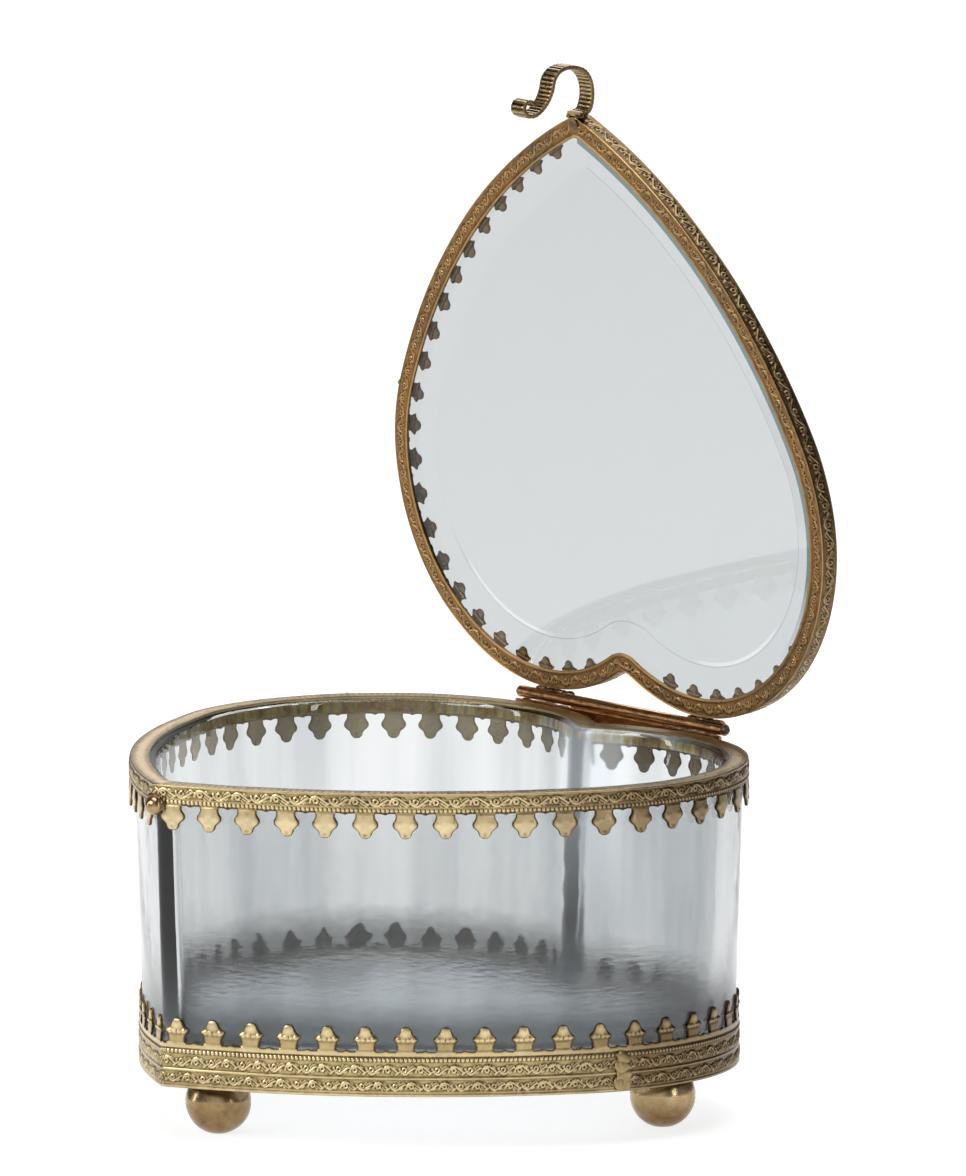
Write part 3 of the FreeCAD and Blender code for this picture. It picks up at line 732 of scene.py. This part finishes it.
def bowl_rows():
    """The bowl's section: underside, drafted outside, rounded lip, inside, floor."""
    bottom, floor, lip = 11.0, 15.0, RIM_TOP - 0.55
    foot, mouth, wall = -2.43, -0.93, 3.6
    rows = [(foot - 1.2, bottom, s) for s in (0.25, 0.5, 0.75, 1.0)]
    rows += [(foot - 0.35, bottom + 0.25, 1), (foot, bottom + 1.2, 1)]
    for t in np.linspace(0.05, 1, 36):
        rows.append((foot + (mouth - foot) * t, bottom + 1.2 + (lip - 0.7 - bottom - 1.2) * t, 1))
    for a in np.linspace(0, 180, 9)[1:-1]:
        rows.append((mouth - wall / 2 + wall / 2 * math.cos(math.radians(a)),
                     lip - 0.7 + 0.65 * math.sin(math.radians(a)), 1))
    for t in np.linspace(0, 1, 34):
        rows.append((mouth - wall + (foot - mouth) * t, lip - 0.7 + (floor + 4.0 - lip + 0.7) * t, 1))
    for a in np.linspace(0, 90, 9)[1:]:
        rows.append((foot - wall - 4.0 * (1 - math.cos(math.radians(a))),
                     floor + 4.0 * (1 - math.sin(math.radians(a))), 1))
    rows += [(foot - wall - 4.0, floor, s) for s in (0.85, 0.65, 0.45, 0.25)]
    return rows


def bowl_wave(u, z, offset):
    """The moulded wall's unevenness: none at the mouth, most on the inside near the floor."""
    inside = 1.0 if offset < -4.0 else 0.4
    if z < 11.5 or z > RIM_TOP - 4:
        return 0 * u
    low = math.exp(-(z - 15) / 14)
    ripple = wander(u, 21, 0.22) + wander(u + z * 0.6, 22, 0.18)
    return inside * (ripple + low * 0.3 * wander(u + 0.8 * z, 23, 0.6))


BOWL_ROWS = bowl_rows()


def cleft_blur_and_glow(row, u):
    """The mould's rougher skin inside the cleft, growing towards the mouth; the same mark makes the cleft
    glow, a painted glow.
    """
    height = np.clip((BOWL_ROWS[row][1] - 26) / 20, 0, 1)
    return 0.24 * height * np.clip(1 - (np.abs(u - HALF_LENGTH) / 9) ** 4, 0, 1)


PANE_LOW, PANE_EDGE = LID_BOTTOM + 0.42, -LID_INSET - 0.55
PANE_SIDE = LID_BOTTOM + LID_EDGE - 0.38
TEAL_ROWS, GLEAM_ROWS = (4, 5), (19, 20)


def pane_rows():
    """The lid's pane: flat underneath, a thick edge, a bevel, and flat on top."""
    rows = [(PANE_EDGE, PANE_LOW, s) for s in (0.3, 0.6, 0.8)]
    rows += [(-LID_INSET - d, PANE_LOW, 1) for d in (4.35, 4.25, 3.3)]
    rows += [(PANE_EDGE - 0.2, PANE_LOW, 1), (PANE_EDGE, PANE_LOW + 0.2, 1), (PANE_EDGE, PANE_SIDE, 1)]
    rows += [(PANE_EDGE - 7.8 * t, PANE_SIDE + 0.03 + 0.72 * t, 1) for t in np.linspace(0, 1, 9)]
    rows += [(PANE_EDGE - d, PANE_SIDE + 0.77, 1) for d in (7.85, 8.05, 8.45, 8.65)]
    rows += [(PANE_EDGE - 8.65, PANE_SIDE + 0.77, s) for s in (0.85, 0.6, 0.3)]
    return rows


def teal_edge_shade(row, u):
    """A dark teal strip on the pane's underside just inside the flange, down its right side: painted shade
    of the flange seen in the glass.
    """
    facing_right = np.clip((outline(u)[2] - 0.25) / 0.1, 0, 1)
    above_lobe = np.clip((0.72 * HALF_LENGTH - u) / 20, 0, 1)
    return facing_right * above_lobe if row in TEAL_ROWS else 0.0


def bevel_gleam(row, u):
    """Light caught along the inner edge of the bevel, in an arc behind each lobe."""
    arcs = [np.clip(1 - ((u - HALF_LENGTH - at) / 17) ** 4, 0, 1) for at in (-33, 36)]
    return 0.85 * np.maximum(*arcs) if row in GLEAM_ROWS else 0.0


# ------------------------------------------------------------------ small pieces
def lathe(name, profile, centre, material, body, dent, seed):
    """A turned piece: (radius, height) profile about an upright axis, with slight dents."""
    steps = 96
    draw = np.random.default_rng(seed)
    angle = np.linspace(0, 2 * math.pi, steps, endpoint=False)
    lobes = [(draw.integers(2, 6), draw.uniform(0, 6.28), draw.normal()) for _ in range(4)]
    points = []
    for r, h in profile:
        uneven = sum(w * np.sin(n * angle + f + h) for n, f, w in lobes) * dent
        ring = np.stack([(r + uneven) * np.cos(angle), (r + uneven) * np.sin(angle), np.full(steps, h)], 1)
        points.append(ring)
    points = np.concatenate(points + [np.array([[0, 0, profile[0][1]], [0, 0, profile[-1][1]]])])
    faces = capped_rings(len(profile), steps)
    return make_object(name, points + np.array(centre), faces, material, body, sharp=35)


def ball_profile(radius, low, high, steps=40):
    """A ball cut flat at heights low and high above its centre."""
    a0, a1 = math.asin(low / radius), math.asin(high / radius)
    return [(radius * math.cos(a), radius * math.sin(a)) for a in np.linspace(a0, a1, steps)]


def make_foot(node, x, y):
    rise = math.sqrt(FOOT_R ** 2 - FOOT_FLAT_R ** 2)
    profile = ball_profile(FOOT_R, -rise, FOOT_TOP - rise)
    seam_at = min(range(len(profile)), key=lambda k: abs(profile[k][1]))
    profile[seam_at] = (profile[seam_at][0] - 0.06, profile[seam_at][1])
    foot = lathe(node + "_ball", profile, (x, y, rise), FOOT_BRASS, "box", 0.012, len(node))
    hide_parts(node)


def lumps(name, balls, material, body, seed):
    """Lumps of solder: (centre, (along, out, up) radii, the way out in degrees) each."""
    draw = np.random.default_rng(seed)
    rows, steps, uneven = 24, 32, 0.16
    from_pole = np.linspace(0.03, math.pi - 0.03, rows)
    la, lo = np.meshgrid(from_pole, np.linspace(0, 2 * math.pi, steps, endpoint=False), indexing="ij")
    unit = np.stack([np.sin(la) * np.cos(lo), np.sin(la) * np.sin(lo), np.cos(la)], -1)
    k = np.arange(steps)
    quads = ring_quads(rows, steps)[:, [0, 3, 2, 1]]
    points, faces = [], []
    for ball, (centre, radii, out_deg) in enumerate(balls):
        swell = np.ones(la.shape)
        for size in (2.2, 2.2, 4.0, 4.0, 7.0):
            way = draw.normal(size=3)
            swell += uneven / size * 2 * np.sin(unit @ way * size + draw.uniform(0, 6.28))
        local = unit * np.array(radii) * swell[..., None]
        c, s = math.cos(math.radians(out_deg)), math.sin(math.radians(out_deg))
        turned = np.stack([local[..., 1] * c - local[..., 0] * s, local[..., 1] * s + local[..., 0] * c,
                           local[..., 2]], -1)
        points.append((turned + np.array(centre)).reshape(-1, 3))
        start = ball * rows * steps
        faces += (start + quads).tolist()
        faces.append((start + k).tolist())
        faces.append((start + (rows - 1) * steps + k[::-1]).tolist())
    return make_object(name, np.concatenate(points), faces, material, body)


def seam_balls(u, d, z_list, radii):
    """Balls up a seam at distance u round the outline."""
    x, y, nx, ny = (float(value) for value in outline(u))
    out = math.degrees(math.atan2(ny, nx))
    return [((x + nx * d, y + ny * d, z), radii, out) for z in z_list]


# ------------------------------------------------------------------ clasp
# The ribbon's middle line on the closed lid: (out from the lid's tip, down from its underside).
CLASP_PATH = [
    (0.45, -0.4), (0.45, -1.7), (1.0, -2.8), (3.2, -3.6), (5.7, -3.4), (7.6, -2.1), (8.6, 0.4),
    (8.5, 2.6), (7.4, 4.1), (5.5, 4.9), (4.0, 5.9), (2.8, 7.4), (2.25, 9.0),
    (2.55, 10.4), (3.5, 11.1), (4.55, 10.7), (4.75, 9.6), (4.1, 8.9),
]


def smooth_path(points, steps):
    """Evenly spaced points on a Catmull-Rom curve through a few points."""
    p = np.array(points, float)
    p = np.vstack([2 * p[0] - p[1], p, 2 * p[-1] - p[-2]])
    out = []
    for k in range(1, len(p) - 2):
        for t in np.linspace(0, 1, 24, endpoint=False):
            a, b, c, d = p[k - 1:k + 3]
            out.append(0.5 * (2 * b + (c - a) * t + (2 * a - 5 * b + 4 * c - d) * t ** 2
                              + (3 * b - a - 3 * c + d) * t ** 3))
    out = np.array(out + [p[-2]])
    s = np.concatenate([[0], np.cumsum(np.linalg.norm(np.diff(out, axis=0), axis=1))])
    even = np.linspace(0, s[-1], steps)
    return np.stack([np.interp(even, s, out[:, k]) for k in (0, 1)], 1), even


def make_clasp():
    """The reeded ribbon: cross grooves on both faces and smooth edges."""
    path, s = smooth_path(CLASP_PATH, 300)
    lid_tip = TIP_EDGE + LID_INSET
    tangent = np.gradient(path, axis=0)
    tangent /= np.linalg.norm(tangent, axis=1)[:, None]
    normal = np.stack([-tangent[:, 1], tangent[:, 0]], 1)
    groove = 0.5 + 0.5 * np.cos(2 * math.pi * s / 0.72)
    half_width = 1.62 + 0.036 * np.sin(s * 0.8)
    thick = 0.39
    # (across, out) round a section with rounded corners, +out on the normal's side
    corner = 0.16
    ring = []
    for quarter, (sx, sy) in enumerate(((1, 1), (-1, 1), (-1, -1), (1, -1))):
        angles = (np.linspace(0, 1, 5) + quarter) * math.pi / 2
        ring += [(sx, sy, corner * math.cos(a), corner * math.sin(a)) for a in angles]
        if sy == 1 and sx == 1:
            ring += [(k, 1, 0, corner) for k in (0.6, 0.3, 0, -0.3, -0.6)]
        if sy == -1 and sx == -1:
            ring += [(k, -1, 0, -corner) for k in (-0.6, -0.3, 0, 0.3, 0.6)]
    points, tones = [], []
    for k in range(len(s)):
        for ex, ey, cx, cy in ring:
            face = abs(cy) > corner * 0.9
            sunk = 0.1 * (1 - groove[k]) if face else 0.05 * (1 - groove[k])
            x = ex * (half_width[k] - corner) + cx
            out = ey * (thick - corner) + cy - math.copysign(sunk, ey if ey else 1)
            f, d = path[k] + normal[k] * out
            points.append((x, lid_tip - f, LID_BOTTOM - d))
            tones.append(groove[k] if face else 0.75)
    m = len(ring)
    faces = ring_quads(len(s), m).tolist()
    faces.append(list(range(m))[::-1])
    faces.append([(len(s) - 1) * m + n for n in range(m)])
    marks = {"tone": tones, "age": np.zeros(len(tones))}
    obj = make_object("clasp_ribbon", points, faces, CLASP_BRASS, "clasp", marks, sharp=60)
    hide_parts("clasp_hook")


# ------------------------------------------------------------------ building
def build_strips():
    rim_path = fold_rows((-RIM_FLANGE, RIM_TOP), (0, RIM_TOP), (0, RIM_TOP - RIM_STRIP), 0.45)
    rim = make_strip("rim_gallery_strip", section_rows(rim_path, -1), rim_relief,
                     lambda v: np.clip((3.6 - v) / 0.3, 0, 0.9), RIM_BRASS, "box",
                     HANGING_HEAD, hanging_tab, seed=31)
    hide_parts("rim_band")
    base_path = [(-BASE_INSET, z) for z in np.linspace(BASE_BOTTOM, BASE_BOTTOM + BASE_STRIP, 46)]
    base = make_strip("base_gallery_strip", section_rows(base_path, 1), base_relief,
                      lambda v: 0 * v, BASE_BRASS, "box", UPRIGHT_HEAD, upright_tab, seed=32)
    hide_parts("base_band")
    wall, top = -LID_INSET, LID_BOTTOM + LID_EDGE
    lower = fold_rows((wall - LID_LIP, LID_BOTTOM), (wall, LID_BOTTOM), (wall, top - 1.2), 0.35)
    upper = fold_rows((wall, top - 1.0), (wall, top), (wall - LID_TOP_FLANGE, top + 0.16), 0.35)
    near_tip_or_cleft = (0, TABS - 1, TABS // 2 - 1, TABS // 2)
    lid = make_strip("lid_channel", section_rows(lower + upper, 1), lid_relief,
                     lambda v: np.clip((v - LID_LIP - 0.2) / 0.3, 0, 0.9), LID_BRASS, "lid",
                     UPRIGHT_HEAD, upright_tab, seed=33, bare=near_tip_or_cleft, bend=0.0,
                     tab_length=3.0, fillet=3.0)
    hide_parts("lid_frame")


def build_solder():
    """The seams, the collars on the feet and the joints at hinge and clasp, as hand-run solder."""
    small = (0.8, 0.35, 0.7)
    base_seam = seam_balls(facing(-14.5), -1.5, (10.2, 11.6, 13.0, 14.4), (1.25, 0.5, 1.3))
    rim_seam = seam_balls(facing(150), -0.25, (56.6, 57.6, 58.5), small)
    lid_seam = seam_balls(facing(202), -0.5, (60.4, 61.3, 62.2), small)
    collars = []
    for x, y in FEET.values():
        for out_deg in range(7, 367, 36):
            out = math.radians(out_deg)
            centre = (x + 3.3 * math.cos(out), y + 3.3 * math.sin(out), 9.95)
            collars.append((centre, (1.3, 0.7, 0.42), out_deg))
    hinge_joints = [((side * LOBE_X + dx, HINGE_Y - 0.75, HINGE_Z + 0.5), (1.5, 0.6, 0.6), 90)
                    for side in (-1, 1) for dx in (-3.6, -1.2, 1.2, 3.4)]
    along_leaf = [((HINGE_X + side * x, HINGE_Y - 0.62, RIM_TOP - 0.3), (2.0, 0.26, 0.42), 90)
                  for side in (-1, 1) for x in (14.4, 17.4, 20.4, 23.2)]
    in_crevices = [((side * LOBE_X + dx, LOBE_R - 0.1, RIM_TOP - 1.6), (1.4, 0.3, 1.2), 90)
                   for side in (-1, 1) for dx in (-3.1, 3.1)]
    catch_height, lid_tip = RIM_TOP - 3.8, TIP_EDGE + LID_INSET
    round_catch = [
        ((-1.3, TIP_EDGE + 0.35, catch_height + 0.4), (1.0, 0.5, 1.3), -100),
        ((1.3, TIP_EDGE + 0.35, catch_height + 0.5), (1.0, 0.5, 1.2), -80),
        ((0.0, TIP_EDGE + 0.1, catch_height + 1.5), (1.5, 0.5, 0.6), -90),
    ]
    clasp_root = [
        ((0.0, lid_tip + 1.2, LID_BOTTOM + 0.15), (1.0, 1.1, 0.3), -90),
        ((-1.1, lid_tip - 0.1, LID_BOTTOM + 1.0), (0.8, 0.5, 1.0), -90),
        ((1.2, lid_tip - 0.1, LID_BOTTOM + 1.0), (0.8, 0.5, 1.0), -90),
    ]
    pieces = (
        ("base_seam_lump", "base_seam_solder", base_seam, SEAM_BRASS, "box", 41),
        ("rim_seam_lump", "rim_seam_solder", rim_seam, SEAM_BRASS, "box", 42),
        ("lid_seam_lump", "lid_seam_solder", lid_seam, SEAM_BRASS, "lid", 43),
        ("foot_collars", "foot_solder", collars, SOLDER, "box", 44),
        ("hinge_joint_solder", "lid_hinge_solder", hinge_joints, BROWN_SOLDER, "lid", 46),
        ("leaf_edge_solder", "leaf_solder", along_leaf + in_crevices, BROWN_SOLDER, "box", 48),
        ("catch_solder_lump", "catch_solder", round_catch, BROWN_SOLDER, "box", 47),
        ("clasp_root_solder", "clasp_solder", clasp_root, BROWN_SOLDER, "lid", 45),
    )
    for name, node, balls, material, body, seed in pieces:
        piece = lumps(name, balls, material, body, seed)
        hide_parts(node)


def build_glass():
    bowl = section_solid("moulded_bowl", BOWL_ROWS, bowl_wave, BOWL_GLASS, "box", fillet=2.5,
                         marks={"blur_and_glow": cleft_blur_and_glow})
    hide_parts("glass_bowl")
    pane = section_solid("bevelled_pane", pane_rows(), lambda u, z, offset: 0 * u, LID_GLASS, "lid",
                         sharp=2, marks={"edge": teal_edge_shade, "gleam": bevel_gleam})
    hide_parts("lid_glass")


def dress_cad_nodes():
    """Gives the CAD nodes that stay in view their own materials."""
    finishes = {
        "rim_cement": CEMENT, "base_cement": CEMENT, "base_ring": PLAIN_BRASS, "hinge_leaf": HINGE_BRASS,
        "hinge_knuckle_box": HINGE_BRASS, "lid_knuckle_left": HINGE_BRASS,
        "lid_knuckle_right": HINGE_BRASS, "hinge_pin": DARK_WIRE, "catch_bead": BEAD_BRASS,
    }
    for node, material in finishes.items():
        mesh = frame["nodes"][node].data
        mesh.materials.clear()
        mesh.materials.append(material)


def build_stage():
    """A pale floor, white round the object and behind it and greyer to the sides."""
    mesh = bpy.data.meshes.new("floor")
    size = 6.0
    corners = [(-size, -size, 0), (size, -size, 0), (size, size, 0), (-size, size, 0)]
    mesh.from_pydata(corners, [], [(0, 1, 2, 3)])
    floor = bpy.data.objects.new("floor", mesh)
    bpy.context.scene.collection.objects.link(floor)
    material, nodes, links, shader, coords = new_material("floor_white")
    shader.inputs["Base Color"].default_value = (0.3, 0.3, 0.3, 1)
    shader.inputs["Roughness"].default_value = 0.9
    shader.inputs["Emission Color"].default_value = (1, 1, 1, 1)
    aside = maths(nodes, links, "ABSOLUTE", along(nodes, links, coords, TO_THE_RIGHT), 0.0)
    links.new(map_range(nodes, links, aside, 0.12, 0.7, 0.8, 0.08), shader.inputs["Emission Strength"])
    mesh.materials.append(material)


def area_light(name, where, aim, size, power):
    data = bpy.data.lights.new(name, "AREA")
    data.shape = "RECTANGLE"
    data.size, data.size_y = size
    data.energy = power
    light = bpy.data.objects.new(name, data)
    light.location = where
    light.rotation_euler = (Vector(aim) - Vector(where)).to_track_quat("-Z", "Y").to_euler()
    bpy.context.scene.collection.objects.link(light)


def build_world():
    """A studio: bright behind the object, dark at its sides, and a soft front with a dark right."""
    world = bpy.data.worlds.new("studio")
    bpy.context.scene.world = world
    world.use_nodes = True
    nodes, links = world.node_tree.nodes, world.node_tree.links
    coords = nodes.new("ShaderNodeTexCoord").outputs["Generated"]
    side = map_range(nodes, links, along(nodes, links, coords, TO_THE_RIGHT), -1.0, 1.0, 0.0, 1.0)
    away = along(nodes, links, coords, (-0.766, 0.643, 0.0))
    behind = map_range(nodes, links, away, -0.15, 0.25, 0.0, 1.0)
    front = ramp(nodes, [(0.0, (0.12, 0.12, 0.13)), (0.14, (0.5, 0.5, 0.5)), (0.3, (1, 1, 1)),
                         (0.5, (0.9, 0.9, 0.9)), (0.66, (0.3, 0.3, 0.3)), (0.8, (0.08, 0.08, 0.09)),
                         (1.0, (0.3, 0.3, 0.32))])
    back = ramp(nodes, [(0.0, (0.05, 0.055, 0.06)), (0.2, (0.2, 0.21, 0.22)), (0.4, (0.45, 0.46, 0.47)),
                        (0.6, (0.4, 0.41, 0.42)), (0.8, (0.15, 0.16, 0.17)), (1.0, (0.05, 0.055, 0.06))])
    for scale in (front, back):
        links.new(side, scale.inputs[0])
    around = mix_colour(nodes, links, behind, front.outputs[0], back.outputs[0])
    height = map_range(nodes, links, along(nodes, links, coords, (0, 0, 1)), 0.0, 1.0, 0.0, 1.0)
    upward = ramp(nodes, [(0.0, (1, 1, 1)), (0.35, (0.8, 0.8, 0.8)), (0.6, (0.3, 0.31, 0.33)),
                          (1.0, (0.7, 0.7, 0.7))])
    links.new(height, upward.inputs[0])
    colour = mix_colour(nodes, links, 1.0, around, upward.outputs[0], "MULTIPLY")
    links.new(colour, nodes["Background"].inputs["Color"])
    nodes["Background"].inputs["Strength"].default_value = 0.9


def build_lights():
    area_light("key", (-0.25, -1.3, 0.9), (0, 0, 0.08), (0.9, 0.6), 14)
    area_light("strip_left", (-0.9, -1.0, 0.35), (0, 0, 0.08), (0.12, 0.9), 3)
    area_light("strip_right", (1.2, 0.1, 0.4), (0, 0, 0.08), (0.1, 0.9), 2)
    area_light("top", (0.0, 0.1, 1.5), (0, 0, 0.0), (1.2, 1.2), 14)
    area_light("back", (-0.8, 0.9, 1.0), (0, 0, 0.05), (1.0, 0.7), 8)


def build_camera():
    """A long lens far away, as the nearly parallel edges need."""
    azimuth, elevation, distance = math.radians(50.0), math.radians(9.13), 5.0
    scale, frame_height, sensor = 6.104, 1176, 36.0   # scale: the frame's pixels for a millimetre
    right = Vector((math.cos(azimuth), math.sin(azimuth), 0))
    back = Vector((math.sin(azimuth) * math.cos(elevation), -math.cos(azimuth) * math.cos(elevation),
                   math.sin(elevation)))
    up = back.cross(right)
    target = Vector((0, -0.008 + SHIFT_Y / 1000, 0.075)) + right * 0.01026 + up * 0.01036
    data = bpy.data.cameras.new("camera")
    data.sensor_width = sensor
    data.lens = scale * distance * 1000 * sensor / frame_height
    data.clip_end = 50.0
    camera = bpy.data.objects.new("camera", data)
    camera.location = target + back * distance
    camera.rotation_euler = (-back).to_track_quat("-Z", "Y").to_euler()
    bpy.context.scene.collection.objects.link(camera)
    bpy.context.scene.camera = camera


build_stage()
build_world()
build_lights()
build_camera()
build_glass()
build_strips()
for foot_node, (foot_x, foot_y) in FEET.items():
    make_foot(foot_node, foot_x, foot_y)
build_solder()
make_clasp()
dress_cad_nodes()
bpy.context.scene.view_settings.view_transform = "Standard"
